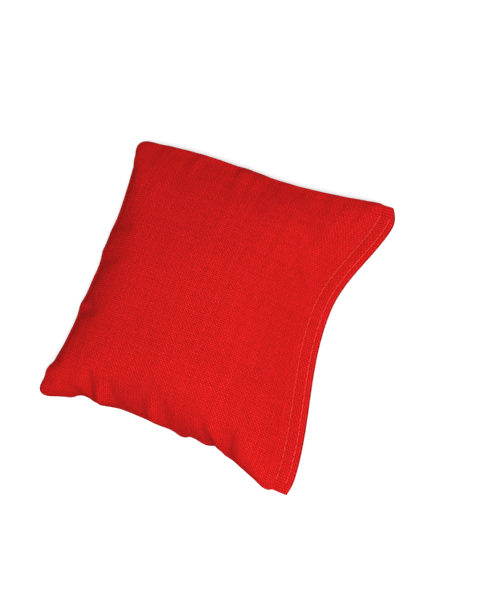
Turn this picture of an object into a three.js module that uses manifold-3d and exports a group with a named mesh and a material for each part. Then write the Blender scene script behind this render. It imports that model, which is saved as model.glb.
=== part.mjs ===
// Square toss bag of cotton duck: two panels sewn together on three turned seams, filled with dried corn,
// and closed on the fourth side by a flat edge with two rows of lockstitch.
// Millimetres, +Z up. The filled bag lies on z = 0 with its closing edge towards +X.
import * as THREE from 'three';
import * as BufferGeometryUtils from 'three/addons/utils/BufferGeometryUtils.js';
import Module from 'manifold-3d';

// Driving dimensions
const bagSide = 152;            // filled bag, corner to corner along X and along Y
const seamHeight = 17;          // height of the plane of the four edges above the table
const loft = 23;                // how far each panel would bulge away from that plane
const bulgeSharpness = 0.46;    // 0.5 is an elliptical section; less is fuller
const closingPull = 14;         // how far the middle of each edge is drawn in: the closing edge most,
const nearPull = 7;             // then the side along -Y that the corn has slumped towards,
const farPull = 4;              // then the side opposite the closing edge,
const slackPull = 1.5;          // and least the side along +Y
const closingPullMiddle = 16;   // where along Y the closing edge is drawn in most
const cornerRadius = 5;         // blunt ends of the ears
const clothThickness = 0.7;
const seamAllowance = 10;       // turned inwards on all four sides
const closingWidth = 9.5;       // flat stack outside the pocket, along +X
const outerRowInset = 2.3;      // rows of stitching, from the free edge
const innerRowInset = 7.9;
const stitchPitch = 3.2;
const stitchesPerRow = 43;
const threadThickness = 0.45;
const legThickness = 0.35;      // pulled tight where it goes down through the cloth
const needleHole = 1.05;        // side of the square hole that a stitch passes through
const stitchDip = 0.2;          // how far the thread sinks at each hole
const sideSeamInset = 3;        // sewing line of the three turned seams, inside the pocket edge
const sideSeamCorner = 12;      // its radius at the two turned corners
const sideSeamEnd = 10;         // where it stops, short of the closing edge
const pieceGap = 0.3;           // between two pieces
const threadGap = 0.15;         // between a thread and the cloth that it lies on
const panelCells = 16;          // grid cells along a panel
const edgeCells = 16;           // lengths that a bent edge is divided into
const sideSeamSteps = 60;

// Worked out from them
const pocketHalfX = (bagSide - closingWidth) / 2;
const pocketHalfY = bagSide / 2;
const hemReach = 2;             // the closing hem's raw edges run this far into the pocket
const foldedStack = pieceGap / 2 + 2 * clothThickness;
const singleStack = pieceGap / 2 + clothThickness;
const farAway = 200;

const wasm = await Module();
wasm.setup();

const canvasMaterial = new THREE.MeshStandardMaterial({ color: 0xd81e1e, roughness: 0.9, metalness: 0 });
const backCanvasMaterial = canvasMaterial.clone();
const threadMaterial = new THREE.MeshStandardMaterial({ color: 0xe03a36, roughness: 0.6, metalness: 0 });
const cornMaterial = new THREE.MeshStandardMaterial({ color: 0xd9a03c, roughness: 0.5, metalness: 0 });

// The filling shortens the sewn square: each edge moves in and the corners stay out.
// X and Y are counted from the middle of the pocket.
function drawIn(geometry) {
  const position = geometry.attributes.position;
  for (let i = 0; i < position.count; i++) {
    const x = position.getX(i);
    const y = position.getY(i);
    const u = THREE.MathUtils.clamp(x / pocketHalfX, -1, 1);
    const v = THREE.MathUtils.clamp(y / pocketHalfY, -1, 1);
    const offMiddle = y - closingPullMiddle;
    const reach = pocketHalfY - Math.sign(offMiddle) * closingPullMiddle;
    const alongClosing = Math.min(1, Math.abs(offMiddle) / reach);
    const closing = closingPull * (1 - alongClosing * alongClosing);
    const far = farPull * (1 - v * v);
    position.setX(i, x - u * Math.abs(u) * (u > 0 ? closing : far));
    position.setY(i, y - v * Math.abs(v) * (v > 0 ? slackPull : nearPull) * (1 - u * u));
  }
  return geometry;
}

function toManifold(geometry) {
  const bare = geometry.clone();
  bare.deleteAttribute('normal');
  bare.deleteAttribute('uv');
  const merged = BufferGeometryUtils.mergeVertices(bare, 1e-4);
  return new wasm.Manifold(new wasm.Mesh({
    numProp: 3,
    vertProperties: new Float32Array(merged.attributes.position.array),
    triVerts: new Uint32Array(merged.index.array),
  }));
}

function toGeometry(manifold) {
  const mesh = manifold.getMesh();
  const geometry = new THREE.BufferGeometry();
  geometry.setAttribute('position', new THREE.BufferAttribute(mesh.vertProperties, 3));
  geometry.setIndex(new THREE.BufferAttribute(mesh.triVerts, 1));
  geometry.computeVertexNormals();
  return geometry;
}

// One side of the filled pocket, bulging towards +Z or -Z and flattened at floorDepth
function bulgedGrid(inset, direction, floorDepth) {
  const grid = new THREE.PlaneGeometry(2, 2, panelCells, panelCells);
  const position = grid.attributes.position;
  for (let i = 0; i < position.count; i++) {
    const u = Math.sin(position.getX(i) * Math.PI / 2);
    const v = Math.sin(position.getY(i) * Math.PI / 2);
    const fullness = Math.max(0, (1 - u * u) * (1 - v * v));
    const height = direction * (loft - inset) * Math.pow(fullness, bulgeSharpness);
    position.setXYZ(i, u * (pocketHalfX - inset), v * (pocketHalfY - inset), Math.max(height, -floorDepth));
  }
  if (direction < 0) {
    const index = grid.index;
    for (let i = 0; i < index.count; i += 3) {
      const second = index.getX(i + 1);
      index.setX(i + 1, index.getX(i + 2));
      index.setX(i + 2, second);
    }
  }
  return drawIn(grid);
}

// The pocket's outer shape, made smaller all round by the inset
function pocket(inset) {
  const floorDepth = seamHeight - inset;
  const sides = [bulgedGrid(inset, 1, floorDepth), bulgedGrid(inset, -1, floorDepth)];
  return toManifold(BufferGeometryUtils.mergeGeometries(sides));
}

// A flat strip lying across the seam plane, bent as the edges are
function strip(x0, x1, y0, y1, halfHeight) {
  const cellsX = Math.max(1, Math.round((x1 - x0) / bagSide * edgeCells));
  const cellsY = Math.max(1, Math.round((y1 - y0) / bagSide * edgeCells));
  const box = new THREE.BoxGeometry(x1 - x0, y1 - y0, 2 * halfHeight, cellsX, cellsY, 1);
  box.translate((x0 + x1) / 2, (y0 + y1) / 2, 0);
  return toManifold(drawIn(box));
}

// The cloth turned inwards along the three sewn sides, both layers
function turnedAllowances(inset, width, halfHeight) {
  const outerX = pocketHalfX - inset;
  const outerY = pocketHalfY - inset;
  const far = strip(-outerX, width - pocketHalfX, -outerY, outerY, halfHeight);
  const near = strip(-outerX, pocketHalfX, -outerY, width - pocketHalfY, halfHeight);
  const slack = strip(-outerX, pocketHalfX, pocketHalfY - width, outerY, halfHeight);
  return far.add(near).add(slack);
}

function closingStack(reach, halfHeight) {
  return strip(pocketHalfX - reach, pocketHalfX + closingWidth, -pocketHalfY, pocketHalfY, halfHeight);
}

function stitchPlaces() {
  return Array.from({ length: stitchesPerRow + 1 }, (_, i) => (i - stitchesPerRow / 2) * stitchPitch);
}

function rowX(inset) {
  return pocketHalfX + closingWidth - inset;
}

function needleHoles() {
  const holes = [];
  for (const inset of [outerRowInset, innerRowInset]) {
    for (const y of stitchPlaces()) {
      const hole = new THREE.BoxGeometry(needleHole, needleHole, 4 * foldedStack);
      hole.translate(rowX(inset), y, 0);
      holes.push(drawIn(hole));
    }
  }
  return toManifold(BufferGeometryUtils.mergeGeometries(holes));
}

// Vertical prism that keeps what is inside the blunt-cornered square
function bluntSquare() {
  const half = bagSide / 2;
  const straight = half - cornerRadius;
  const outline = new THREE.Shape();
  outline.absarc(straight, straight, cornerRadius, 0, Math.PI / 2);
  outline.absarc(-straight, straight, cornerRadius, Math.PI / 2, Math.PI);
  outline.absarc(-straight, -straight, cornerRadius, Math.PI, Math.PI * 1.5);
  outline.absarc(straight, -straight, cornerRadius, Math.PI * 1.5, Math.PI * 2);
  const prism = new THREE.ExtrudeGeometry(outline, { depth: farAway, bevelEnabled: false, curveSegments: 5 });
  prism.translate(closingWidth / 2, 0, -farAway / 2);
  return toManifold(prism);
}

function halfSpace(direction) {
  const width = 2 * farAway;
  const box = new THREE.BoxGeometry(width, width, farAway);
  box.translate(0, 0, direction * (farAway + pieceGap) / 2);
  return toManifold(box);
}

// Both panels as one sewn skin, before the gap between them divides it
function sewnSkin() {
  const shell = pocket(0).subtract(pocket(clothThickness));
  return shell
    .add(turnedAllowances(clothThickness / 2, seamAllowance, singleStack))
    .add(closingStack(hemReach, foldedStack))
    .intersect(bluntSquare())
    .subtract(needleHoles());
}

// Loose corn settled against the cloth and round the turned-in seam allowances
function cornLump() {
  const clearance = clothThickness + pieceGap;
  return pocket(clearance)
    .subtract(turnedAllowances(0, seamAllowance + pieceGap, singleStack + threadThickness + 2 * pieceGap))
    .subtract(closingStack(hemReach + pieceGap, foldedStack + pieceGap));
}

// One thread of a lockstitch row: a crowned stitch from hole to hole, and a leg down each hole
function closingThread(inset, side) {
  const places = stitchPlaces();
  const length = stitchesPerRow * stitchPitch + threadThickness;
  const underside = foldedStack + threadGap;
  const legLength = underside + threadThickness / 2 - pieceGap / 2;
  const run = new THREE.BoxGeometry(threadThickness, length, threadThickness, 1, 2 * stitchesPerRow, 1);
  const position = run.attributes.position;
  for (let i = 0; i < position.count; i++) {
    const alongStitch = position.getY(i) / stitchPitch + stitchesPerRow / 2;
    if (position.getZ(i) > 0) {
      position.setZ(i, position.getZ(i) - stitchDip * Math.abs(Math.cos(Math.PI * alongStitch)));
    }
  }
  run.translate(0, 0, underside + threadThickness / 2);
  const legs = places.map((y) => {
    const leg = new THREE.BoxGeometry(legThickness, legThickness, legLength);
    return leg.translate(0, y, (pieceGap + legLength) / 2);
  });
  const pieces = [run, BufferGeometryUtils.mergeGeometries(legs)].map((geometry) => {
    if (side < 0) geometry.rotateY(Math.PI);
    return toManifold(drawIn(geometry.translate(rowX(inset), 0, 0)));
  });
  return toGeometry(pieces[0].add(pieces[1]));
}

// The seam line of the three turned sides, from the closing edge round both corners and back
function sideSeamLine(height) {
  const endX = pocketHalfX - sideSeamEnd;
  const turnX = -pocketHalfX + sideSeamInset + sideSeamCorner;
  const turnY = pocketHalfY - sideSeamInset - sideSeamCorner;
  const flatLine = new THREE.Path();
  flatLine.moveTo(endX, turnY + sideSeamCorner);
  flatLine.lineTo(turnX, turnY + sideSeamCorner);
  flatLine.absarc(turnX, turnY, sideSeamCorner, Math.PI / 2, Math.PI);
  flatLine.lineTo(turnX - sideSeamCorner, -turnY);
  flatLine.absarc(turnX, -turnY, sideSeamCorner, Math.PI, Math.PI * 1.5);
  flatLine.lineTo(endX, -turnY - sideSeamCorner);
  const points = flatLine.getSpacedPoints(sideSeamSteps).map(({ x, y }) => new THREE.Vector3(x, y, height));
  const line = drawIn(new THREE.BufferGeometry().setFromPoints(points));
  return points.map((_, i) => new THREE.Vector3().fromBufferAttribute(line.attributes.position, i));
}

function sideSeamThread(side) {
  const half = threadThickness / 2;
  const section = new THREE.Shape([
    new THREE.Vector2(-half, -half), new THREE.Vector2(half, -half),
    new THREE.Vector2(half, half), new THREE.Vector2(-half, half),
  ]);
  const line = sideSeamLine(side * (singleStack + threadGap + half));
  return new THREE.ExtrudeGeometry(section, {
    steps: sideSeamSteps,
    bevelEnabled: false,
    extrudePath: new THREE.CatmullRomCurve3(line),
  });
}

function addPiece(name, geometry, material) {
  const mesh = new THREE.Mesh(geometry, material);
  mesh.name = name;
  laidBag.add(mesh);
}

// Everything is made about the middle of the pocket in its seam plane, then laid on the table.
const laidBag = new THREE.Group();
laidBag.position.z = seamHeight;

const skin = sewnSkin();
addPiece('front_panel', toGeometry(skin.intersect(halfSpace(1))), canvasMaterial);
addPiece('back_panel', toGeometry(skin.intersect(halfSpace(-1))), backCanvasMaterial);
addPiece('corn_fill', toGeometry(cornLump()), cornMaterial);
addPiece('side_seam_needle_thread', sideSeamThread(1), threadMaterial);
addPiece('side_seam_bobbin_thread', sideSeamThread(-1), threadMaterial);
for (const [rowName, inset] of [['outer', outerRowInset], ['inner', innerRowInset]]) {
  addPiece(`closing_${rowName}_needle_thread`, closingThread(inset, 1), threadMaterial);
  addPiece(`closing_${rowName}_bobbin_thread`, closingThread(inset, -1), threadMaterial);
}

// The blunt ears shift the outline's middle a little, so the outline is centred over the origin.
const outlineMiddle = new THREE.Box3().setFromObject(laidBag).getCenter(new THREE.Vector3());
laidBag.position.x -= outlineMiddle.x;
laidBag.position.y -= outlineMiddle.y;

const tossBag = new THREE.Group();
tossBag.add(laidBag);
export default tossBag;
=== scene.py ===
# A square red canvas bean bag, filled with dried corn, laid flat on a pale floor.
import bpy
import bmesh
import math
import random
from mathutils import Matrix, Vector, bvhtree, geometry, noise


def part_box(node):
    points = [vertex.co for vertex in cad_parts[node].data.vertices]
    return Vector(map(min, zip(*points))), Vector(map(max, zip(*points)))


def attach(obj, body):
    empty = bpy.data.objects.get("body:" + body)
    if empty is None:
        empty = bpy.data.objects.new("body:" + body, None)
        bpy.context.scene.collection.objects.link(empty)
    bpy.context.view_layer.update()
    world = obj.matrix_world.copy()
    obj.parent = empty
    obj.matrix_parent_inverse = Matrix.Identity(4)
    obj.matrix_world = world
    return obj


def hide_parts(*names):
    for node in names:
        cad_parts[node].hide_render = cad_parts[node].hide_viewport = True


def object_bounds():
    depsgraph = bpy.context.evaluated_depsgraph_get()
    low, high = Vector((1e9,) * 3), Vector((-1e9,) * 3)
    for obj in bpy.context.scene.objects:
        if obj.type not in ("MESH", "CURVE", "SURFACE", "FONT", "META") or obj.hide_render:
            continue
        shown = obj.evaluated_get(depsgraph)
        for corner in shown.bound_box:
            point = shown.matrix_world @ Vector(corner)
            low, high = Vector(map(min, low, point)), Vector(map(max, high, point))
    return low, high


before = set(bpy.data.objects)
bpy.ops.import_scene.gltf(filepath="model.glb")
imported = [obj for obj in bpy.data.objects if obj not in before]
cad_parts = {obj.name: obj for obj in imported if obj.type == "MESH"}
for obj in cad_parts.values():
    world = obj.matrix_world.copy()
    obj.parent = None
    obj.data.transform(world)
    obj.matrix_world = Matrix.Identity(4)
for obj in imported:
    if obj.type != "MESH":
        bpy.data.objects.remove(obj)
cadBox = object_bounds()
scene = bpy.context.scene
print("frame loaded:", ", ".join(sorted(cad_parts)))


# the camera looks down on the bag from beyond its closing edge

viewpoint = {
    "azimuth": 69.8,       # degrees round the bag, 0 looks along +Y
    "elevation": 65.9,
    "roll": -49.1,         # the bag lies corner down in the frame
    "distance": 0.553,
    "aside": (0.0200, 0.0083),   # the middle of the frame, from the middle of the bag
    "lens": 66,
}


def placeCamera():
    camera = bpy.data.cameras.new("camera")
    camera.sensor_width = 36
    camera.lens = viewpoint["lens"]
    camera.clip_start = 0.01
    rig = bpy.data.objects.new("camera", camera)
    scene.collection.objects.link(rig)
    turn = math.radians(viewpoint["azimuth"])
    rise = math.radians(viewpoint["elevation"])
    tilt = math.radians(viewpoint["roll"])
    towardsEye = Vector((math.sin(turn) * math.cos(rise), -math.cos(turn) * math.cos(rise), math.sin(rise)))
    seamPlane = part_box("front_panel")[0].z
    target = Vector((*viewpoint["aside"], seamPlane))
    level = Vector((0, 0, 1)).cross(towardsEye).normalized()
    right = Matrix.Rotation(tilt, 3, towardsEye) @ level
    up = towardsEye.cross(right)
    rig.matrix_world = Matrix.Translation(target + towardsEye * viewpoint["distance"]) @ Matrix(
        (right, up, towardsEye)).transposed().to_4x4()
    scene.camera = rig
    return right, up, towardsEye


cameraRight, cameraUp, towardsCamera = placeCamera()


# the bag: how it is cut and sewn, and how it is filled

bag = {
    "flatWidth": 0.152,        # along the closing edge, seam to seam
    "flatLength": 0.1460,      # from the far seam to the mouth of the pocket
    "farCorner": 0.006,        # radius of the two corners that were turned out
    "mouthCorner": 0.0018,     # radius at the ends of the closing edge
    "cells": 46,               # squares along each side of a panel
    "cloth": 0.0007,           # thickness of the canvas
    "mouthBow": 0.015,         # how far the middle of the closing edge is drawn in
    "mouthBowCentre": 0.016,   # and where that middle is
    "slackWave": 0.0018,       # and how much the slack side wavers
    "gather": 0.006,           # height of the spare cloth beside the three sewn sides
    "gatherSize": 0.009,       # along the side
    "gatherReach": 0.006,      # and away from it
    "firstBulge": 0.006,       # each panel's height before filling
    "unevenness": 0.003,       # of that first shape, so that the cloth puckers
    "unevenSize": 0.032,
    "unevenSeed": 4,
    "rollStep": 0.4,           # the back panel is cut this much further along the same roll
}
filling = {
    "enlarge": 10,             # the simulation runs at ten times the size
    "startVolume": 60e-6,      # cubic metres
    "volume": 560e-6,
    "pourFrames": 34,
    "settleFrames": 52,
    "cornWeight": 2.0,         # pressure grows downwards, as in loose grain
    "pressure": 100,
    "stretch": 80,
    "squeeze": 30,
    "shear": 40,
    "bend": 6,
    "closingBend": 400,        # the closing edge is four layers thick
    "damping": 10,
    "bendDamping": 1,
    "airDamping": 3,
    "clothMass": 0.3,          # kilograms a point, at the enlarged size
    "steps": 6,                # in each frame
    "floorGrip": 20,
    "floorGap": 0.005,         # at the enlarged size
    "clothGap": 0.015,
    "slackHold": 0.85,         # the sewn side the grain has slumped away from stays nearly straight
    "slackFrom": 0.002,
    "slackFade": 0.016,
    "farHold": 0.30,           # the far sewn side, a little
    "seamShrink": 0.010,       # the sewn sides are drawn up by their thread, so the cloth puckers
    "pull": (0.3, -2.2, -9.0),   # metres per second squared, so the corn slumps towards -Y
}


def roundCorner(v, halfX, halfY, radius):
    # bends the square corner of the grid on to a quarter circle
    pastX = abs(v.co.x) - (halfX - radius)
    pastY = abs(v.co.y) - (halfY - radius)
    if pastX <= 0 or pastY <= 0:
        return
    shrink = max(pastX, pastY) / math.hypot(pastX, pastY)
    v.co.x = math.copysign(halfX - radius + pastX * shrink, v.co.x)
    v.co.y = math.copysign(halfY - radius + pastY * shrink, v.co.y)


def gatherHeight(place, halfX, halfY, side):
    # spare cloth along the three sewn sides, which the filling turns into puckers
    height = 0
    sewnSides = (
        (halfX + place.x, place.y, 1),
        (halfY + place.y, place.x, 2),
        (halfY - place.y, place.x, 3),
    )
    for inward, along, seed in sewnSides:
        nearness = inward / bag["gatherReach"]
        wave = noise.noise(Vector((along / bag["gatherSize"], seed * 7.3 + side, bag["unevenSeed"])))
        height += bag["gather"] * max(0, wave) * nearness * math.exp(1 - nearness)
    return height


def flatPocket():
    # two panels of cloth, welded along their rim; material 0 is the front and 1 the back
    size = filling["enlarge"]
    halfX, halfY = bag["flatLength"] / 2, bag["flatWidth"] / 2
    bm = bmesh.new()
    bmesh.ops.create_grid(bm, x_segments=bag["cells"], y_segments=bag["cells"], size=0.5)
    bmesh.ops.scale(bm, verts=bm.verts, vec=(2 * halfX, 2 * halfY, 1))
    for v in bm.verts:
        roundCorner(v, halfX, halfY, bag["farCorner"] if v.co.x < 0 else bag["mouthCorner"])
    clothMap = bm.loops.layers.uv.new("cloth")
    for face in bm.faces:
        for loop in face.loops:
            loop[clothMap].uv = loop.vert.co.xy
    copy = bmesh.ops.duplicate(bm, geom=bm.verts[:] + bm.edges[:] + bm.faces[:])["geom"]
    backFaces = [g for g in copy if isinstance(g, bmesh.types.BMFace)]
    bmesh.ops.reverse_faces(bm, faces=backFaces)
    for face in backFaces:
        face.material_index = 1
        for loop in face.loops:
            loop[clothMap].uv.y += bag["rollStep"]
    for v in bm.verts:
        if v.is_boundary:
            continue
        side = -1 if v.link_faces[0].material_index else 1
        fullness = (1 - (v.co.x / halfX) ** 2) * (1 - (v.co.y / halfY) ** 2)
        where = Vector((v.co.x, v.co.y, 0)) / bag["unevenSize"]
        bump = noise.noise(where + Vector((0, 0, side * 5 + bag["unevenSeed"])))
        v.co.z = side * max(0.002, fullness * bag["firstBulge"]) + bag["unevenness"] * bump * fullness
        v.co.z += side * gatherHeight(v.co, halfX, halfY, side)
    for v in bm.verts:
        # the mouth is sewn flat and drawn in, so the cloth next to it follows
        nearMouth = max(0, v.co.x / halfX) ** 2
        offCentre = v.co.y - bag["mouthBowCentre"]
        along = min(1, abs(offCentre) / (halfY - math.copysign(bag["mouthBowCentre"], offCentre)))
        v.co.x -= bag["mouthBow"] * nearMouth * (0.5 + 0.5 * math.cos(math.pi * along))
        nearSlack = max(0, v.co.y / halfY) ** 2
        v.co.y -= bag["slackWave"] * nearSlack * math.sin(math.pi * v.co.x / halfX)
    rim = [v for v in bm.verts if v.is_boundary]
    bmesh.ops.remove_doubles(bm, verts=rim, dist=1e-6)
    bmesh.ops.translate(bm, verts=bm.verts, vec=(0, 0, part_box("front_panel")[0].z))
    bmesh.ops.scale(bm, verts=bm.verts, vec=(size, size, size))
    mesh = bpy.data.meshes.new("pocket")
    bm.to_mesh(mesh)
    bm.free()
    return mesh


def edgeVerts(mesh, axis, place):
    # the points along one straight edge of the front panel, found on the flat cloth
    clothMap = mesh.uv_layers["cloth"].data
    found = {loop.vertex_index for loop in mesh.loops if abs(clothMap[loop.index].uv[axis] - place) < 1e-5}
    return sorted(found)


def pourCorn():
    # inflates the pocket with a rising volume of grain, on the floor, and lets it settle
    size = filling["enlarge"]
    mesh = flatPocket()
    pocket = bpy.data.objects.new("pocket", mesh)
    scene.collection.objects.link(pocket)
    held = pocket.vertex_groups.new(name="held")
    for index in edgeVerts(mesh, 1, bag["flatWidth"] / 2):
        fromCorner = mesh.vertices[index].co.x / size + bag["flatLength"] / 2
        hold = min(1, max(0, (fromCorner - filling["slackFrom"]) / filling["slackFade"]))
        held.add([index], filling["slackHold"] * hold, "REPLACE")
    for index in edgeVerts(mesh, 0, -bag["flatLength"] / 2):
        fromCorner = bag["flatWidth"] / 2 - abs(mesh.vertices[index].co.y / size)
        hold = min(1, max(0, fromCorner / filling["slackFade"] - 1))
        held.add([index], filling["farHold"] * hold, "REPLACE")
    held.add(edgeVerts(mesh, 0, bag["flatLength"] / 2), 1.0, "REPLACE")

    sewn = pocket.vertex_groups.new(name="sewn")
    for axis, place in ((0, -bag["flatLength"] / 2), (1, bag["flatWidth"] / 2), (1, -bag["flatWidth"] / 2)):
        sewn.add(edgeVerts(mesh, axis, place), 1.0, "REPLACE")

    floorMesh = bpy.data.meshes.new("simulationFloor")
    bm = bmesh.new()
    bmesh.ops.create_grid(bm, x_segments=1, y_segments=1, size=0.3 * size)
    bm.to_mesh(floorMesh)
    bm.free()
    ground = bpy.data.objects.new("simulationFloor", floorMesh)
    scene.collection.objects.link(ground)
    ground.modifiers.new("ground", "COLLISION")
    ground.collision.thickness_outer = filling["floorGap"]
    ground.collision.cloth_friction = filling["floorGrip"]

    cloth = pocket.modifiers.new("filling", "CLOTH")
    settings = cloth.settings
    settings.quality = filling["steps"]
    settings.mass = filling["clothMass"]
    settings.air_damping = filling["airDamping"]
    settings.tension_stiffness = filling["stretch"]
    settings.compression_stiffness = filling["squeeze"]
    settings.shear_stiffness = filling["shear"]
    settings.bending_model = "ANGULAR"
    settings.bending_stiffness = filling["bend"]
    settings.tension_damping = filling["damping"]
    settings.compression_damping = filling["damping"]
    settings.shear_damping = filling["damping"]
    settings.bending_damping = filling["bendDamping"]
    settings.vertex_group_mass = "held"
    settings.vertex_group_bending = "held"
    settings.bending_stiffness_max = filling["closingBend"]
    settings.vertex_group_shrink = "sewn"
    settings.shrink_max = filling["seamShrink"]
    settings.use_pressure = True
    settings.use_pressure_volume = True
    settings.uniform_pressure_force = 0
    settings.pressure_factor = filling["pressure"]
    settings.fluid_density = filling["cornWeight"]
    for when, volume in ((1, filling["startVolume"]), (filling["pourFrames"], filling["volume"])):
        settings.target_volume = volume * size ** 3
        settings.keyframe_insert("target_volume", frame=when)
    for curve in pocket.animation_data.action.fcurves:
        for key in curve.keyframe_points:
            key.interpolation = "LINEAR"
    cloth.collision_settings.distance_min = filling["clothGap"]
    cloth.point_cache.frame_end = filling["settleFrames"]
    scene.frame_end = filling["settleFrames"]
    scene.gravity = filling["pull"]
    for when in range(1, filling["settleFrames"] + 1):
        scene.frame_set(when)
    filled = bpy.data.meshes.new_from_object(pocket.evaluated_get(bpy.context.evaluated_depsgraph_get()))
    filled.transform(Matrix.Scale(1 / size, 4))
    scene.frame_set(1)
    scene.gravity = (0, 0, -9.81)
    for spent in (pocket, ground):
        bpy.data.objects.remove(spent)
    return filled


def rimLoop(bm):
    # the rim's points in order round the bag, where the front cloth meets the back
    nextTo = {}
    for edge in bm.edges:
        if len({face.material_index for face in edge.link_faces}) == 2:
            for v in edge.verts:
                nextTo.setdefault(v, []).append(edge.other_vert(v))
    loop = [next(iter(nextTo))]
    while len(loop) < len(nextTo):
        ahead = [v for v in nextTo[loop[-1]] if len(loop) < 2 or v is not loop[-2]]
        loop.append(ahead[0])
    return loop


def smoothRound(vectors, passes):
    count = len(vectors)
    for _ in range(passes):
        vectors = [vectors[i - 1] + 2 * vectors[i] + vectors[(i + 1) % count] for i in range(count)]
        vectors = [v / 4 for v in vectors]
    return [v.normalized() for v in vectors]


def rimFrames(bm):
    # for each rim point: where it is, which way is out of the bag, and which way is towards the front
    loop = rimLoop(bm)
    outward, towardsFront = [], []
    for i, v in enumerate(loop):
        along = (loop[(i + 1) % len(loop)].co - loop[i - 1].co).normalized()
        slopes = [Vector(), Vector()]
        for edge in v.link_edges:
            sides = {face.material_index for face in edge.link_faces}
            if len(sides) == 1:
                slopes[sides.pop()] += (edge.other_vert(v).co - v.co).normalized()
        across = slopes[0] - slopes[1]
        across -= along * across.dot(along)
        into = slopes[0].normalized() + slopes[1].normalized()
        into -= along * into.dot(along)
        outward.append(-into)
        towardsFront.append(across)
    towardsFront = smoothRound(towardsFront, 3)
    outward = smoothRound(outward, 3)
    frames = {}
    for v, out, front in zip(loop, outward, towardsFront):
        front = (front - out * front.dot(out)).normalized()
        frames[v] = (v.co.copy(), out, front)
    return loop, frames


# the two canvas panels

closing = {
    "width": 0.0095,           # flat edge outside the pocket
    "roundEnd": 0.006,         # its two ends are rounded off over this length
    "endCut": (0.14, 0.42),    # and by this part of its width, at the -Y and the +Y end
    "endOut": (0.0015, 0.0024),   # how far those ends are drawn out, level with the sewn sides
    "nextOut": 0.4,            # and the part of that for the cloth beside them
    "follow": 0.35,            # how much the edge follows the mouth's own direction
    "flare": 0.1,              # of which this part along Y
    "level": 0.5,              # how much it lies level
    "hemInset": 0.0016,        # the hem ends short of the edge's ends
    "outerRow": 0.0023,        # rows of stitches, from the free edge
    "innerRow": 0.0079,
    "pitch": 0.0032,
    "stitches": 43,
    "holeDip": 0.00030,        # how deep a stitch pulls the cloth in
    "holeSize": 0.00065,
    "rowDip": 0.00014,
    "rowSize": 0.0006,
}
seam = {
    "allowance": 0.010,        # cloth turned in along the three sewn sides
    "layer": 0.00040,          # middle of the turned-in cloth, from the seam plane
    "fold": 0.00078,           # middle of the cloth where it folds over the seam
    "mouthFold": 0.00125,
    "sewnInset": 0.0009,       # line of the hidden stitches, from the fold
    "foldIn": 0.0002,          # the turned-in cloth starts this far in
    "foldCloth": 0.0006,       # cloth used by the fold
    "pressed": 0.003,          # and lies flat from here
    "cornerReach": (0.1, 0.75),   # the allowance is trimmed away towards the corners
    "endReach": 0.12,
}
# outward from the mouth, height over the seam plane, and cloth used, for the closing edge's double layer
closingRows = (
    (0.0016, 0.00112, 0.0016),
    (0.0048, 0.00124, 0.0048),
    (0.0080, 0.00114, 0.0080),
    (0.0092, 0.00108, 0.0092),
    (0.0096, 0.00078, 0.0097),
    (0.0092, 0.00042, 0.0102),
    (0.0050, 0.00040, 0.0144),
    (-0.0020, 0.00040, 0.0214),
)
foldRow = 4                    # the free edge, among those rows


def flatPosition(v, clothMap):
    return v.link_loops[0][clothMap].uv.copy()


def growCloth(bm, edges, rootOf):
    # one more row of cloth along these edges; returns the new edges and each new point's root
    made = bmesh.ops.extrude_edge_only(bm, edges=edges)["geom"]
    newVerts = [g for g in made if isinstance(g, bmesh.types.BMVert)]
    newRoots = {}
    for v in newVerts:
        below = next(e.other_vert(v) for e in v.link_edges if e.other_vert(v) in rootOf)
        newRoots[v] = rootOf[below]
    newEdges = [g for g in made if isinstance(g, bmesh.types.BMEdge)]
    newEdges = [e for e in newEdges if all(v in newRoots for v in e.verts)]
    newFaces = [g for g in made if isinstance(g, bmesh.types.BMFace)]
    return newEdges, newFaces, newRoots


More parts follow.
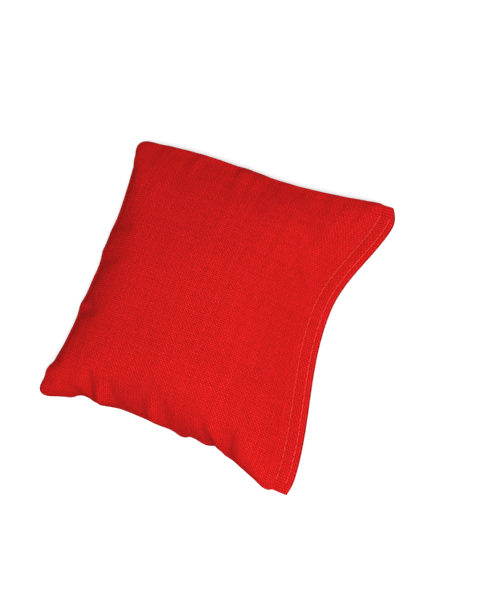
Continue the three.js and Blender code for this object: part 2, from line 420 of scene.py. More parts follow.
def sewPanel(filled, side):
    # side is 1 for the front and -1 for the back
    bm = bmesh.new()
    bm.from_mesh(filled)
    clothMap = bm.loops.layers.uv["cloth"]
    loop, frames = rimFrames(bm)
    other = 1 if side > 0 else 0
    bmesh.ops.delete(bm, geom=[f for f in bm.faces if f.material_index == other], context="FACES")
    flat = {v: flatPosition(v, clothMap) for v in loop}
    middle = sum((flat[v] for v in loop), Vector((0, 0))) / len(loop)
    rim = {}
    for i, v in enumerate(loop):
        point, out, front = frames[v]
        along = flat[loop[(i + 1) % len(loop)]] - flat[loop[i - 1]]
        flatOut = Vector((along.y, -along.x)).normalized()
        if flatOut.dot(flat[v] - middle) < 0:
            flatOut.negate()
        cornerX = bag["flatLength"] / 2 - abs(flat[v].x)
        cornerY = bag["flatWidth"] / 2 - abs(flat[v].y - middle.y)
        least, slope = seam["cornerReach"]
        rim[v] = {
            "point": point,
            "out": out,
            "front": front * side,
            "flat": flat[v],
            "flatOut": flatOut,
            "reach": min(1, least + slope * math.hypot(cornerX, cornerY) / seam["allowance"]),
        }
    mouth = [v for v in loop if abs(flat[v].x - bag["flatLength"] / 2) < 1e-5]
    mouth.sort(key=lambda v: flat[v].y)
    heading = sum((rim[v]["out"] for v in mouth), Vector()) / len(mouth)
    for v in mouth:
        blend = rim[v]["out"] * closing["follow"] + heading * (1 - closing["follow"])
        blend.y *= closing["flare"]
        rim[v]["mouthOut"] = blend.normalized()
        level = Vector((0, 0, side * closing["level"]))
        rim[v]["front"] = (rim[v]["front"] * (1 - closing["level"]) + level).normalized()
    for nth, part in ((0, 1), (1, closing["nextOut"])):
        rim[mouth[nth]]["point"].y -= closing["endOut"][0] * part
        rim[mouth[-1 - nth]]["point"].y += closing["endOut"][1] * part
    for v in loop:
        lift = seam["mouthFold"] if v in mouth else seam["fold"]
        v.co = rim[v]["point"] + rim[v]["front"] * lift

    # the closing edge: out to the fold, and back inside as a hem
    mouthSet = set(mouth)
    edges = [e for e in bm.edges if e.is_boundary and all(v in mouthSet for v in e.verts)]
    sewnEdges = [e for e in bm.edges if e.is_boundary and e not in edges]
    rootOf = {v: v for v in mouth}
    ends = (mouth[0], mouth[-1])
    for row, (reach, height, used) in enumerate(closingRows):
        edges, faces, rootOf = growCloth(bm, edges, rootOf)
        for v, root in rootOf.items():
            base = rim[root]
            cuts = []
            for end, part in zip(ends, closing["endCut"]):
                fromEnd = abs(flat[root].y - flat[end].y)
                cuts.append(part * max(0, 1 - fromEnd / closing["roundEnd"]) ** 2)
            kept = 1 - max(cuts)
            outward = reach * kept
            if row > foldRow:
                outward = min(reach, closing["width"] * kept - (used - closingRows[foldRow][2]))
            place = base["point"] + base["mouthOut"] * outward
            v.co = place + base["front"] * height
            flat[v] = base["flat"] + Vector((used, 0))
            if root not in ends:
                continue
            endwards = Vector((0, -1 if root is ends[0] else 1, 0))
            if row > foldRow:
                v.co -= endwards * closing["hemInset"]
                continue
            rim[v] = {
                "point": place,
                "out": endwards,
                "front": base["front"],
                "flat": flat[v],
                "flatOut": endwards.xy,
                "reach": seam["endReach"],
            }
        for face in faces:
            for corner in face.loops:
                corner[clothMap].uv = flat[corner.vert]
            if row <= foldRow:
                free = [e for e in face.edges if e.is_boundary and e not in edges]
                sewnEdges += [e for e in free if all(v in rim for v in e.verts)]
    for root in ends:
        rim[root]["reach"] = seam["endReach"]

    # the three sewn sides and the ends of the closing edge are turned in
    rootOf = {v: v for e in sewnEdges for v in e.verts}
    edges = list(set(sewnEdges))
    for inward in (seam["foldIn"], seam["pressed"], seam["allowance"]):
        edges, faces, rootOf = growCloth(bm, edges, rootOf)
        for v, root in rootOf.items():
            base = rim[root]
            inset = inward if inward == seam["foldIn"] else inward * base["reach"]
            v.co = base["point"] - base["out"] * inset + base["front"] * seam["layer"]
            flat[v] = base["flat"] + base["flatOut"] * (inset + seam["foldCloth"])
        for face in faces:
            for corner in face.loops:
                corner[clothMap].uv = flat[corner.vert]
    for face in bm.faces:
        face.material_index = 0
        face.smooth = True
    mesh = bpy.data.meshes.new("panel")
    bm.to_mesh(mesh)
    bm.free()
    return refine(mesh)


def refine(mesh):
    # two rounds of subdivision, applied, because the stitches then pull at the fine cloth
    draft = bpy.data.objects.new("draft", mesh)
    scene.collection.objects.link(draft)
    fine = draft.modifiers.new("fine", "SUBSURF")
    fine.levels = 2
    fine.render_levels = 2
    result = bpy.data.meshes.new_from_object(draft.evaluated_get(bpy.context.evaluated_depsgraph_get()))
    bpy.data.objects.remove(draft)
    return result


def clothOf(mesh):
    # every point's place on the flat cloth
    flat = [None] * len(mesh.vertices)
    clothMap = mesh.uv_layers["cloth"].data
    for corner in mesh.loops:
        flat[corner.vertex_index] = clothMap[corner.index].uv.copy()
    return flat


def rowPositions():
    # the two rows, as places on the flat cloth
    freeEdge = bag["flatLength"] / 2 + closing["width"]
    return {"outer": freeEdge - closing["outerRow"], "inner": freeEdge - closing["innerRow"]}


def holePositions(side):
    shift = 0 if side > 0 else bag["rollStep"]
    count = closing["stitches"]
    return [(i - count / 2) * closing["pitch"] + shift for i in range(count + 1)]


def pullStitches(mesh, side):
    # sinks the cloth along both rows, and more at each needle hole
    flat = clothOf(mesh)
    holes = holePositions(side)
    normals = [v.normal.copy() for v in mesh.vertices]
    for v, place, normal in zip(mesh.vertices, flat, normals):
        for row in rowPositions().values():
            away = place.x - row
            if abs(away) > 0.0016:
                continue
            nearest = min(max(round((place.y - holes[0]) / closing["pitch"]), 0), closing["stitches"])
            offset = math.hypot(away, place.y - holes[nearest])
            within = holes[0] - closing["pitch"] < place.y < holes[-1] + closing["pitch"]
            dip = closing["holeDip"] * math.exp(-(offset / closing["holeSize"]) ** 2)
            if within:
                dip += closing["rowDip"] * math.exp(-(away / closing["rowSize"]) ** 2)
            v.co -= normal * dip
    mesh.update()


def makePanel(name, node, filled, side):
    mesh = sewPanel(filled, side)
    pullStitches(mesh, side)
    mesh.name = name
    panel = bpy.data.objects.new(name, mesh)
    scene.collection.objects.link(panel)
    thick = panel.modifiers.new("cloth thickness", "SOLIDIFY")
    thick.thickness = bag["cloth"]
    thick.offset = 0
    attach(panel, "root")
    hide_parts(node)
    return panel


def restOnFloor(mesh):
    # the lowest cloth touches the floor, and the bag with its closing edge is centred on the frame
    lows = [min(v.co[axis] for v in mesh.vertices) for axis in range(3)]
    highs = [max(v.co[axis] for v in mesh.vertices) for axis in range(3)]
    middle = (cadBox[0] + cadBox[1]) / 2
    shift = Vector((
        middle.x - (lows[0] + highs[0] + closing["width"]) / 2,
        middle.y - (lows[1] + highs[1]) / 2,
        cadBox[0].z + bag["cloth"] / 2 - lows[2],
    ))
    mesh.transform(Matrix.Translation(shift))


filledPocket = pourCorn()
restOnFloor(filledPocket)
print("bag filled and settled")
frontPanel = makePanel("front_canvas", "front_panel", filledPocket, 1)
backPanel = makePanel("back_canvas", "back_panel", filledPocket, -1)
print("panels sewn")


# the sewing threads

thread = {
    "plies": 3,
    "plyRadius": 0.00013,
    "twist": 0.0011,           # length of one turn
    "step": 0.00028,
    "crown": 0.00030,          # how high a stitch stands over the cloth
    "depth": 0.0012,           # how far it goes down at a hole
    "slant": 0.00018,          # a stitch leans a little across its row
}


def clothPatch(mesh):
    # the closing edge's outer layer, laid out flat, to find points on the sewn cloth
    flat = clothOf(mesh)
    low = bag["flatLength"] / 2 - 0.002
    high = bag["flatLength"] / 2 + closing["width"] - 0.0002
    triangles = []
    for face in mesh.polygons:
        corners = list(face.vertices)
        if all(low < flat[i].x < high for i in corners):
            triangles += [(corners[0], corners[k], corners[k + 1]) for k in range(1, len(corners) - 1)]
    tree = bvhtree.BVHTree.FromPolygons([Vector((*place, 0)) for place in flat], triangles)
    return {"mesh": mesh, "flat": flat, "triangles": triangles, "tree": tree}


def onCloth(patch, across, along, height):
    place, _, found, _ = patch["tree"].find_nearest(Vector((across, along, 0)))
    corners = patch["triangles"][found]
    flatCorners = [Vector((*patch["flat"][i], 0)) for i in corners]
    verts = [patch["mesh"].vertices[i] for i in corners]
    point = geometry.barycentric_transform(place, *flatCorners, *[v.co for v in verts])
    normal = geometry.barycentric_transform(place, *flatCorners, *[v.normal for v in verts]).normalized()
    return point + normal * (bag["cloth"] / 2 + height)


def smoothPath(points, step):
    # evenly spaced points on a Catmull-Rom curve
    path = []
    for i in range(len(points) - 1):
        a, b = points[max(i - 1, 0)], points[i]
        c, d = points[i + 1], points[min(i + 2, len(points) - 1)]
        pieces = max(1, round((c - b).length / step))
        for k in range(pieces):
            t = k / pieces
            path.append(0.5 * (2 * b + (c - a) * t + (2 * a - 5 * b + 4 * c - d) * t * t
                               + (3 * b - a - 3 * c + d) * t ** 3))
    path.append(points[-1])
    return path


def twistPlies(name, path, plies, plyRadius, twist):
    # lays the plies round each other along the path
    curve = bpy.data.curves.new(name, "CURVE")
    curve.dimensions = "3D"
    curve.bevel_depth = plyRadius
    curve.bevel_resolution = 1
    curve.use_fill_caps = True
    laid = plyRadius * 1.08 / math.sin(math.pi / plies)
    lengths = [0]
    for before, after in zip(path, path[1:]):
        lengths.append(lengths[-1] + (after - before).length)
    sideways = path[1] - path[0]
    sideways = sideways.orthogonal().normalized()
    frames = []
    for i in range(len(path)):
        ahead = (path[min(i + 1, len(path) - 1)] - path[max(i - 1, 0)]).normalized()
        sideways = (sideways - ahead * sideways.dot(ahead)).normalized()
        frames.append((sideways.copy(), ahead.cross(sideways)))
    for ply in range(plies):
        spline = curve.splines.new("POLY")
        spline.points.add(len(path) - 1)
        for i, (point, (across, over)) in enumerate(zip(path, frames)):
            turn = 2 * math.pi * (lengths[i] / twist + ply / plies)
            place = point + (across * math.cos(turn) + over * math.sin(turn)) * laid
            spline.points[i].co = (*place, 1)
    draft = bpy.data.objects.new(name, curve)
    scene.collection.objects.link(draft)
    mesh = bpy.data.meshes.new_from_object(draft.evaluated_get(bpy.context.evaluated_depsgraph_get()))
    bpy.data.objects.remove(draft)
    for face in mesh.polygons:
        face.use_smooth = True
    piece = bpy.data.objects.new(name, mesh)
    scene.collection.objects.link(piece)
    return piece


def finishThread(piece, node):
    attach(piece, "root")
    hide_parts(node)


def sewRow(patch, rowName, kind, side):
    across = rowPositions()[rowName]
    holes = holePositions(side)
    rng = random.Random(len(rowName) * 7 + (11 if side > 0 else 23))
    pitch = closing["pitch"]
    points = [onCloth(patch, across, holes[0], -thread["depth"])]
    for hole, nextHole in zip(holes, holes[1:]):
        lean = thread["slant"] * (1 if side > 0 else -1)
        crown = thread["crown"] * rng.uniform(0.85, 1.15)
        points += [
            onCloth(patch, across - lean, hole + 0.10 * pitch, 0.00002),
            onCloth(patch, across - lean * 0.6, hole + 0.28 * pitch, crown * 0.85),
            onCloth(patch, across + lean * rng.uniform(-0.4, 0.4), hole + 0.5 * pitch, crown),
            onCloth(patch, across + lean * 0.6, nextHole - 0.28 * pitch, crown * 0.85),
            onCloth(patch, across + lean, nextHole - 0.10 * pitch, 0.00002),
            onCloth(patch, across, nextHole, -thread["depth"]),
        ]
    path = smoothPath(points, thread["step"])
    piece = twistPlies(f"closing_{rowName}_{kind}_stitches", path, thread["plies"], thread["plyRadius"],
                       thread["twist"])
    finishThread(piece, f"closing_{rowName}_{kind}_thread")
    return piece


def sewSides(kind, side):
    # the hidden stitches of the three turned seams, just inside the fold
    bm = bmesh.new()
    bm.from_mesh(filledPocket)
    loop, frames = rimFrames(bm)
    clothMap = bm.loops.layers.uv["cloth"]
    limit = bag["flatLength"] / 2 - 0.006
    inside = [flatPosition(v, clothMap).x < limit for v in loop]
    start = next(i for i in range(len(loop)) if inside[i] and not inside[i - 1])
    ordered = [loop[(start + i) % len(loop)] for i in range(sum(inside))]
    points = []
    for v in ordered:
        point, out, front = frames[v]
        points.append(point - out * seam["sewnInset"] + front * side * (seam["layer"] + bag["cloth"] * 0.7))
    bm.free()
    path = smoothPath(points, thread["step"] * 2)
    piece = twistPlies(f"side_seam_{kind}_stitches", path, 2, thread["plyRadius"], thread["twist"] * 2)
    finishThread(piece, f"side_seam_{kind}_thread")
    return piece


threadPieces = []
for kind, side, panel in (("needle", 1, frontPanel), ("bobbin", -1, backPanel)):
    patch = clothPatch(panel.data)
    threadPieces += [sewRow(patch, rowName, kind, side) for rowName in ("outer", "inner")]
    threadPieces.append(sewSides(kind, side))
print("threads sewn")


# the corn inside

corn = {
    "kernel": (0.0040, 0.0023, 0.0056),   # half width, half thickness, half length
    "spacing": (0.0088, 0.0122, 0.0054),
    "turn": 0.22,              # radians, either way
    "shift": 0.0004,
    "clear": 0.0008,           # from the middle of the cloth
    "seed": 12,
}


def kernelShape():
    # a dent corn kernel: flat, widest at the crown, narrow at the tip, with a dent in the crown
    bm = bmesh.new()
    bmesh.ops.create_uvsphere(bm, u_segments=8, v_segments=5, radius=1)
    for v in bm.verts:
        up = (v.co.z + 1) / 2
        v.co.x *= 0.55 + 0.45 * math.sqrt(up)
        v.co.y *= 0.75 + 0.25 * up
        if v.co.z > 0.95:
            v.co.z = 0.72
    bmesh.ops.scale(bm, verts=bm.verts, vec=corn["kernel"])
    mesh = bpy.data.meshes.new("kernel")
    bm.to_mesh(mesh)
    bm.free()
    return mesh


def insideBag(tree, point):
    # counts the cloth above the point: odd is inside
    crossings = 0
    start = point.copy()
    while crossings < 9:
        hit = tree.ray_cast(start, Vector((0.001, 0.002, 1)).normalized())
        if hit[0] is None:
            break
        crossings += 1
        start = hit[0] + Vector((0, 0, 1e-6))
    return crossings % 2 == 1


def layCorn():
    # flat-lying kernels in staggered layers, wherever a whole kernel clears the cloth
    shape = kernelShape()
    depsgraph = bpy.context.evaluated_depsgraph_get()
    skin = bmesh.new()
    skin.from_mesh(filledPocket)
    pocketTree = bvhtree.BVHTree.FromBMesh(skin)
    skin.free()
    clothTrees = [bvhtree.BVHTree.FromObject(panel, depsgraph) for panel in (frontPanel, backPanel)]
    rng = random.Random(corn["seed"])
    low, high = cadBox
    counts = [int((high[k] - low[k]) / corn["spacing"][k]) + 2 for k in range(3)]
    halfWidth, halfThick, halfLength = corn["kernel"]
    bm = bmesh.new()
    laid = 0
    for layer in range(counts[2]):
        for row in range(counts[1]):
            for place in range(counts[0]):
                stagger = Vector((0.5 * (row % 2) + 0.5 * (layer % 2), 0.5 * (layer % 2), 0))
                where = Vector((place, row, layer)) + stagger
                centre = low + Vector([where[k] * corn["spacing"][k] for k in range(3)])
                centre += Vector([rng.uniform(-1, 1) * corn["shift"] for _ in range(3)])
                turns = [rng.uniform(-1, 1) * corn["turn"] for _ in range(3)]
                flip = math.pi * rng.randrange(2)
                # a kernel lies on its flat side, with its length along Y
                matrix = (Matrix.Translation(centre) @ Matrix.Rotation(turns[2] + flip, 4, "Z")
                          @ Matrix.Rotation(turns[0], 4, "X") @ Matrix.Rotation(turns[1], 4, "Y")
                          @ Matrix.Rotation(math.pi / 2, 4, "X"))
                reach = [Vector((halfWidth, 0, 0)), Vector((0, halfThick, 0)), Vector((0, 0, halfLength))]
                tips = [matrix @ (r * sign) for r in reach for sign in (1, -1)]
                if not all(insideBag(pocketTree, tip) for tip in tips):
                    continue
                if any(tree.find_nearest(tip)[3] < corn["clear"] for tree in clothTrees for tip in tips):
                    continue
                before = len(bm.verts)
                bm.from_mesh(shape)
                bm.verts.ensure_lookup_table()
                bmesh.ops.transform(bm, matrix=matrix, verts=bm.verts[before:])
                laid += 1
    mesh = bpy.data.meshes.new("corn_kernels")
    bm.to_mesh(mesh)
    bm.free()
    for face in mesh.polygons:
        face.use_smooth = True
    kernels = bpy.data.objects.new("corn_kernels", mesh)
    scene.collection.objects.link(kernels)
    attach(kernels, "root")
    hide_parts("corn_fill")
    print("corn kernels laid:", laid)
    return kernels


kernels = layCorn()


# the finishes

canvas = {
    "colour": (0.65, 0.0128, 0.0128, 1),
    # painted shade: the dark colour the pinholes between the yarns are given
    "gap": (0.15, 0.0001, 0.0002, 1),
    "crownGain": 1.7,
    "warpSpacing": 0.00087,    # yarns that run along Y
    "weftSpacing": 0.00106,    # yarns that run along X
    "slant": 0.5,
    "weftHeight": 0.60,
    "roughness": 0.9,
    "sheen": 0.008,
    "relief": 0.00018,
    "reliefStrength": 0.8,
    "wander": 0.62,            # how far the yarns stray, in yarns
    "tone": (0.86, 1.14),      # from crown to crown
    "slub": (0.92, 1.08),      # along each yarn
    "rubbed": (0.97, 1.04),
    "fuzzScale": 2600.0,
    "patchScale": 28.0,
}
threadLook = {
    "colour": (0.80, 0.045, 0.036, 1),
    "shade": (0.50, 0.008, 0.007, 1),
    "roughness": 0.6,
}
cornLook = {
    "colour": (0.72, 0.36, 0.055, 1),
    "pale": (0.84, 0.62, 0.26, 1),
    "roughness": 0.42,
}


def addNode(tree, kind, **values):
    node = tree.nodes.new(kind)
    for key, value in values.items():
        setattr(node, key, value)
    return node


def calculate(tree, operation, *values):
    # a maths node whose inputs are numbers or sockets
    node = addNode(tree, "ShaderNodeMath", operation=operation)
    for socket, value in zip(node.inputs, values):
        if isinstance(value, (int, float)):
            socket.default_value = value
        else:
            tree.links.new(value, socket)
    return node.outputs[0]


def mixColours(tree, factor, first, second, blend="MIX"):
    node = addNode(tree, "ShaderNodeMix", data_type="RGBA", blend_type=blend)
    for index, value in ((0, factor), (6, first), (7, second)):
        if isinstance(value, (int, float)):
            node.inputs[index].default_value = value
        elif isinstance(value, tuple):
            node.inputs[index].default_value = value
        else:
            tree.links.new(value, node.inputs[index])
    return node.outputs[2]


def newGroup(name, inputs, outputs):
    group = bpy.data.node_groups.new(name, "ShaderNodeTree")
    for label, kind, default in inputs:
        socket = group.interface.new_socket(name=label, in_out="INPUT", socket_type=kind)
        if default is not None:
            socket.default_value = default
    for label, kind in outputs:
        group.interface.new_socket(name=label, in_out="OUTPUT", socket_type=kind)
    return group, group.nodes.new("NodeGroupInput").outputs, group.nodes.new("NodeGroupOutput").inputs


def plainWeaveGroup():
    # one yarn over, one under: the height of the cloth, how much of it is yarn crown, and each yarn's tone
    group, given, wanted = newGroup(
        "plain weave",
        [("Cloth", "NodeSocketVector", None), ("Warp Spacing", "NodeSocketFloat", 0.001),
         ("Weft Spacing", "NodeSocketFloat", 0.001), ("Wander", "NodeSocketFloat", 0.2),
         ("Slant", "NodeSocketFloat", 0.4), ("Weft Height", "NodeSocketFloat", 0.6)],
        [("Height", "NodeSocketFloat"), ("Tone", "NodeSocketFloat"), ("Slub", "NodeSocketFloat")])
    split = addNode(group, "ShaderNodeSeparateXYZ")
    group.links.new(given["Cloth"], split.inputs[0])
    warpPlace = calculate(group, "DIVIDE", split.outputs[0], given["Warp Spacing"])
    weftPlace = calculate(group, "DIVIDE", split.outputs[1], given["Weft Spacing"])
    wander = addNode(group, "ShaderNodeTexNoise", noise_dimensions="2D")
    wander.inputs["Scale"].default_value = 260
    wander.inputs["Detail"].default_value = 2
    group.links.new(given["Cloth"], wander.inputs["Vector"])
    drift = addNode(group, "ShaderNodeSeparateColor")
    group.links.new(wander.outputs["Color"], drift.inputs[0])
    moved = []
    for axis, place in ((0, warpPlace), (1, weftPlace)):
        offset = calculate(group, "SUBTRACT", drift.outputs[axis], 0.5)
        moved.append(calculate(group, "ADD", place, calculate(group, "MULTIPLY", offset, given["Wander"])))
    warpPlace, weftPlace = moved
    warpNumber = calculate(group, "FLOOR", warpPlace)
    weftNumber = calculate(group, "FLOOR", weftPlace)
    # the twist of the yarn tilts each crown across its yarn
    tilts = []
    for place in (weftPlace, warpPlace):
        fromMiddle = calculate(group, "SUBTRACT", calculate(group, "FRACT", place), 0.5)
        tilts.append(calculate(group, "MULTIPLY", fromMiddle, given["Slant"]))
    heights = []
    yarns = (
        (warpPlace, warpNumber, weftPlace, tilts[0], 1),
        (weftPlace, weftNumber, warpPlace, tilts[1], -1),
    )
    for across, number, crossing, tilt, sign in yarns:
        tilted = calculate(group, "ADD", calculate(group, "SUBTRACT", across, number), tilt)
        ridge = calculate(group, "SINE", calculate(group, "MULTIPLY", tilted, math.pi))
        roundness = calculate(group, "POWER", calculate(group, "MAXIMUM", ridge, 0), 0.8)
        phase = calculate(group, "MULTIPLY", calculate(group, "ADD", crossing, number), math.pi)
        wave = calculate(group, "SINE", phase)
        over = calculate(group, "MULTIPLY_ADD", wave, 0.5 * sign, 0.5)
        heights.append(calculate(group, "MULTIPLY", roundness, over))
    heights[1] = calculate(group, "MULTIPLY", heights[1], given["Weft Height"])
    height = calculate(group, "MAXIMUM", *heights)
    warpOnTop = calculate(group, "GREATER_THAN", *heights)
    tones = []
    for number, offset in ((warpNumber, 0.5), (weftNumber, 1000.5)):
        noiseNode = addNode(group, "ShaderNodeTexWhiteNoise", noise_dimensions="1D")
        group.links.new(calculate(group, "ADD", number, offset), noiseNode.inputs["W"])
        tones.append(noiseNode.outputs["Value"])
    weftOnTop = calculate(group, "SUBTRACT", 1, warpOnTop)
    warpTone = calculate(group, "MULTIPLY", tones[0], warpOnTop)
    weftTone = calculate(group, "MULTIPLY", tones[1], weftOnTop)
    crownPlace = addNode(group, "ShaderNodeCombineXYZ")
    group.links.new(warpNumber, crownPlace.inputs[0])
    group.links.new(weftNumber, crownPlace.inputs[1])
    crownNoise = addNode(group, "ShaderNodeTexWhiteNoise", noise_dimensions="2D")
    group.links.new(crownPlace.outputs[0], crownNoise.inputs["Vector"])
    yarnTone = calculate(group, "MULTIPLY", calculate(group, "ADD", warpTone, weftTone), 0.5)
    tone = calculate(group, "MULTIPLY_ADD", crownNoise.outputs["Value"], 0.5, yarnTone)
    slubs = []
    for stretch in ((1400, 90), (90, 1000)):
        squash = addNode(group, "ShaderNodeMapping")
        squash.inputs["Scale"].default_value = (*stretch, 1)
        group.links.new(given["Cloth"], squash.inputs["Vector"])
        slub = addNode(group, "ShaderNodeTexNoise", noise_dimensions="2D")
        slub.inputs["Scale"].default_value = 1
        slub.inputs["Detail"].default_value = 1
        group.links.new(squash.outputs[0], slub.inputs["Vector"])
        slubs.append(slub.outputs[0])
    warpSlub = calculate(group, "MULTIPLY", slubs[0], warpOnTop)
    weftSlub = calculate(group, "MULTIPLY", slubs[1], weftOnTop)
    slubMix = calculate(group, "ADD", warpSlub, weftSlub)
    for label, socket in (("Height", height), ("Tone", tone), ("Slub", slubMix)):
        group.links.new(socket, wanted[label])
    return group


def fibreGroup():
    # fine fuzz, and lighter patches where the cloth or thread has rubbed
    group, given, wanted = newGroup(
        "cotton fibre",
        [("Vector", "NodeSocketVector", None), ("Scale", "NodeSocketFloat", 1000.0),
         ("Patch Scale", "NodeSocketFloat", 30.0)],
        [("Fuzz", "NodeSocketFloat"), ("Rubbed", "NodeSocketFloat")])
    fuzz = addNode(group, "ShaderNodeTexNoise")
    fuzz.inputs["Detail"].default_value = 3
    fuzz.inputs["Roughness"].default_value = 0.7
    patches = addNode(group, "ShaderNodeTexNoise")
    patches.inputs["Detail"].default_value = 4
    for node, scale in ((fuzz, "Scale"), (patches, "Patch Scale")):
        group.links.new(given["Vector"], node.inputs["Vector"])
        group.links.new(given[scale], node.inputs["Scale"])
    group.links.new(fuzz.outputs[0], wanted["Fuzz"])
    rubbed = addNode(group, "ShaderNodeMapRange")
    rubbed.inputs["From Min"].default_value = 0.35
    rubbed.inputs["From Max"].default_value = 0.70
    group.links.new(patches.outputs[0], rubbed.inputs["Value"])
    group.links.new(rubbed.outputs[0], wanted["Rubbed"])
    return group


weaveGroup = plainWeaveGroup()
fibres = fibreGroup()


def newFinish(name):
    finish = bpy.data.materials.new(name)
    finish.use_nodes = True
    tree = finish.node_tree
    return finish, tree, tree.nodes["Principled BSDF"]


def placeGroup(tree, group, **values):
    node = addNode(tree, "ShaderNodeGroup", node_tree=group)
    for label, value in values.items():
        socket = node.inputs[label.replace("_", " ")]
        if isinstance(value, (int, float)):
            socket.default_value = value
        else:
            tree.links.new(value, socket)
    return node


def spread(tree, value, low, high):
    # a value from 0 to 1, spread from low to high
    node = addNode(tree, "ShaderNodeMapRange")
    tree.links.new(value, node.inputs["Value"])
    node.inputs["To Min"].default_value = low
    node.inputs["To Max"].default_value = high
    return node.outputs[0]


def canvasFinish():
    finish, tree, shader = newFinish("red cotton duck")
    cloth = addNode(tree, "ShaderNodeUVMap", uv_map="cloth")
    weave = placeGroup(tree, weaveGroup, Cloth=cloth.outputs[0], Warp_Spacing=canvas["warpSpacing"],
                       Weft_Spacing=canvas["weftSpacing"], Wander=canvas["wander"], Slant=canvas["slant"],
                       Weft_Height=canvas["weftHeight"])
    place = addNode(tree, "ShaderNodeTexCoord")
    fibre = placeGroup(tree, fibres, Vector=place.outputs["Object"], Scale=canvas["fuzzScale"],
                       Patch_Scale=canvas["patchScale"])
    # the yarns reach their full colour well below their crowns, so that only the pinholes stay dark; that
    # darkening between the yarns is painted shade
    crown = spread(tree, weave.outputs["Height"], 0.0, canvas["crownGain"])
    yarn = mixColours(tree, crown, canvas["gap"], canvas["colour"])
    colour = yarn
    for socket, span in ((weave.outputs["Tone"], canvas["tone"]), (weave.outputs["Slub"], canvas["slub"]),
                         (fibre.outputs["Rubbed"], canvas["rubbed"])):
        colour = mixColours(tree, 1.0, colour, spread(tree, socket, *span), "MULTIPLY")
    tree.links.new(colour, shader.inputs["Base Color"])
    shader.inputs["Roughness"].default_value = canvas["roughness"]
    shader.inputs["Specular IOR Level"].default_value = 0.02
    shader.inputs["Sheen Weight"].default_value = canvas["sheen"]
    shader.inputs["Sheen Roughness"].default_value = 0.5
    shader.inputs["Sheen Tint"].default_value = (1, 0.3, 0.25, 1)
    relief = calculate(tree, "MULTIPLY_ADD", fibre.outputs["Fuzz"], 0.25, weave.outputs["Height"])
    bump = addNode(tree, "ShaderNodeBump")
    bump.inputs["Strength"].default_value = canvas["reliefStrength"]
    bump.inputs["Distance"].default_value = canvas["relief"]
    tree.links.new(relief, bump.inputs["Height"])
    tree.links.new(bump.outputs[0], shader.inputs["Normal"])
    return finish


def threadFinish():
    finish, tree, shader = newFinish("red sewing thread")
    place = addNode(tree, "ShaderNodeTexCoord")
    fibre = placeGroup(tree, fibres, Vector=place.outputs["Object"], Scale=5200.0, Patch_Scale=180.0)
    colour = mixColours(tree, spread(tree, fibre.outputs["Fuzz"], 0.25, 1.0), threadLook["shade"],
                        threadLook["colour"])
    tree.links.new(colour, shader.inputs["Base Color"])
    shader.inputs["Roughness"].default_value = threadLook["roughness"]
    shader.inputs["Specular IOR Level"].default_value = 0.2
    bump = addNode(tree, "ShaderNodeBump")
    bump.inputs["Strength"].default_value = 0.4
    bump.inputs["Distance"].default_value = 0.00004
    tree.links.new(fibre.outputs["Fuzz"], bump.inputs["Height"])
    tree.links.new(bump.outputs[0], shader.inputs["Normal"])
    return finish


def cornFinish():
    finish, tree, shader = newFinish("dried corn")
    place = addNode(tree, "ShaderNodeTexCoord")
    cloudy = addNode(tree, "ShaderNodeTexNoise")
    cloudy.inputs["Scale"].default_value = 260
    cloudy.inputs["Detail"].default_value = 3
    tree.links.new(place.outputs["Object"], cloudy.inputs["Vector"])
    colour = mixColours(tree, cloudy.outputs[0], cornLook["colour"], cornLook["pale"])
    tree.links.new(colour, shader.inputs["Base Color"])
    shader.inputs["Roughness"].default_value = cornLook["roughness"]
    return finish


def floorFinish():
    finish, tree, shader = newFinish("pale floor")
    # pale to look at, but it throws little light back up at the bag's sides
    path = addNode(tree, "ShaderNodeLightPath")
    colour = mixColours(tree, path.outputs["Is Camera Ray"], studio["floorBounce"], studio["floorColour"])
    tree.links.new(colour, shader.inputs["Base Color"])
    glow = calculate(tree, "MULTIPLY", path.outputs["Is Camera Ray"], studio["floorGlow"])
    tree.links.new(glow, shader.inputs["Emission Strength"])
    shader.inputs["Roughness"].default_value = 0.9
    return finish


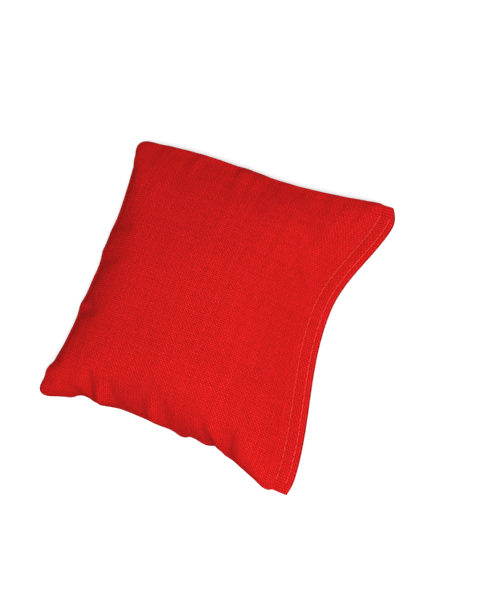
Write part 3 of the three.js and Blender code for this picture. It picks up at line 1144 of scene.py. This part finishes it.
canvasCloth = canvasFinish()
for panel in (frontPanel, backPanel):
    panel.data.materials.clear()
    panel.data.materials.append(canvasCloth)
redThread = threadFinish()
for piece in threadPieces:
    piece.data.materials.append(redThread)
kernels.data.materials.append(cornFinish())
print("finishes made")


# the floor and the lights

studio = {
    "floor": 40.0,             # metres across
    "sky": 0.46,
    "backdrop": 1.0,           # what the eye sees beyond the floor
    "floorColour": (0.90, 0.90, 0.90, 1),
    "floorBounce": (0.25, 0.25, 0.25, 1),
    "floorGlow": 0.22,         # keeps the floor pale far from the lamps
    "key": 8.3,                # watts, from beside the eye
    "keySide": (0.08, -0.15),  # how far to the right and up, as parts of its distance
    "keySize": 0.45,
    "keyDistance": 0.9,
    "soft": 2.0,               # watts, from straight above
    "softSize": 1.2,
    "softDistance": 1.2,
}


def layFloor():
    bm = bmesh.new()
    bmesh.ops.create_grid(bm, x_segments=1, y_segments=1, size=studio["floor"] / 2)
    mesh = bpy.data.meshes.new("floor")
    bm.to_mesh(mesh)
    bm.free()
    ground = bpy.data.objects.new("floor", mesh)
    scene.collection.objects.link(ground)
    mesh.materials.append(floorFinish())


def addLight(name, direction, distance, size, watts):
    light = bpy.data.lights.new(name, "AREA")
    light.energy = watts
    light.size = size
    lamp = bpy.data.objects.new(name, light)
    scene.collection.objects.link(lamp)
    direction = direction.normalized()
    lamp.location = (cadBox[0] + cadBox[1]) / 2 + direction * distance
    lamp.rotation_mode = "QUATERNION"
    lamp.rotation_quaternion = (-direction).to_track_quat("-Z", "Y")


def lightStudio():
    world = bpy.data.worlds.new("studio")
    scene.world = world
    world.use_nodes = True
    sky = world.node_tree.nodes["Background"]
    sky.inputs["Color"].default_value = (1, 1, 1, 1)
    path = addNode(world.node_tree, "ShaderNodeLightPath")
    seen = spread(world.node_tree, path.outputs["Is Camera Ray"], studio["sky"], studio["backdrop"])
    world.node_tree.links.new(seen, sky.inputs["Strength"])
    aside = cameraRight * studio["keySide"][0] + cameraUp * studio["keySide"][1]
    addLight("key", towardsCamera + aside, studio["keyDistance"], studio["keySize"], studio["key"])
    addLight("soft", Vector((0, 0, 1)), studio["softDistance"], studio["softSize"], studio["soft"])
    scene.view_settings.view_transform = "Standard"


layFloor()
lightStudio()
